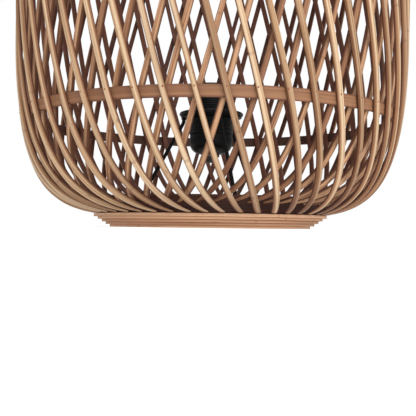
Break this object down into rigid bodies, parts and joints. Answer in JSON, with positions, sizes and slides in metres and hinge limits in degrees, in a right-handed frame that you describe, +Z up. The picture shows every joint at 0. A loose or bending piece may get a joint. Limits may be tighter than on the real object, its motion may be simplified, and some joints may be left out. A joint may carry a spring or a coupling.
{
  "type": "lamp shade",
  "caption": "Barrel-shaped open lamp shade of bent bamboo strips in two crossed layers, with hoops, stepped rims, a three-armed fitter and a screw-ring lamp holder.",
  "frame": {"origin": "on the shade's axis, at the underside of the bottom rim, where it rests on its stand", "axes": "+Z up along the axis through the open top, -Y is the front, +X is to the right seen from the front"},
  "size_m": [0.366, 0.366, 0.5],
  "materials": {
    "bamboo_outer": "bare split bamboo, light tan, fine grain along the strip",
    "bamboo_inner": "bare split bamboo, a shade darker",
    "bamboo_hoop": "flat split bamboo band",
    "bamboo_collar": "flat bamboo band, dark stained",
    "bamboo_rim": "wound flat bamboo, orange tan, fine lines",
    "black_steel": "satin black powder coat",
    "black_plastic": "satin black moulding",
    "white_plastic": "matt insulating moulding",
    "brass": "stamped sheet",
    "zinc": "zinc-plated steel"
  },
  "bodies": {
    "shade": {"bulb_shell": "brass", "centre_contact": "brass", "contact_block": "white_plastic", "fitter_arm_1": "black_steel", "fitter_arm_2": "black_steel", "fitter_arm_3": "black_steel", "fitter_foot_ring": "black_steel", "fitter_hub": "black_steel", "foot_screw_1": "zinc", "foot_screw_2": "zinc", "foot_screw_3": "zinc", "holder_cap": "black_plastic", "holder_skirt": "black_plastic", "inner_strips_01": "bamboo_inner", "inner_strips_02": "bamboo_inner", "inner_strips_03": "bamboo_inner", "inner_strips_04": "bamboo_inner", "inner_strips_05": "bamboo_inner", "inner_strips_06": "bamboo_inner", "inner_strips_07": "bamboo_inner", "inner_strips_08": "bamboo_inner", "inner_strips_09": "bamboo_inner", "inner_strips_10": "bamboo_inner", "inner_strips_11": "bamboo_inner", "inner_strips_12": "bamboo_inner", "locknut": "zinc", "lower_collar": "bamboo_collar", "lower_hoop": "bamboo_hoop", "lower_rim_turn_1": "bamboo_rim", "lower_rim_turn_2": "bamboo_rim", "lower_rim_turn_3": "bamboo_rim", "lower_rim_turn_4": "bamboo_rim", "lower_rim_turn_5": "bamboo_rim", "nipple": "zinc", "outer_strips_01": "bamboo_outer", "outer_strips_02": "bamboo_outer", "outer_strips_03": "bamboo_outer", "outer_strips_04": "bamboo_outer", "outer_strips_05": "bamboo_outer", "outer_strips_06": "bamboo_outer", "outer_strips_07": "bamboo_outer", "outer_strips_08": "bamboo_outer", "outer_strips_09": "bamboo_outer", "outer_strips_10": "bamboo_outer", "outer_strips_11": "bamboo_outer", "outer_strips_12": "bamboo_outer", "upper_collar": "bamboo_collar", "upper_hoop": "bamboo_hoop", "upper_rim_turn_1": "bamboo_rim", "upper_rim_turn_2": "bamboo_rim", "upper_rim_turn_3": "bamboo_rim", "upper_rim_turn_4": "bamboo_rim", "upper_rim_turn_5": "bamboo_rim"},
    "ring": {"clamp_ring": "black_plastic"}
  },
  "joints": [
    {"name": "clamp_ring_slide", "type": "slide", "parent": "shade", "child": "ring", "axis": [0, 0, 1], "range_m": [0, 0.031]}
  ]
}
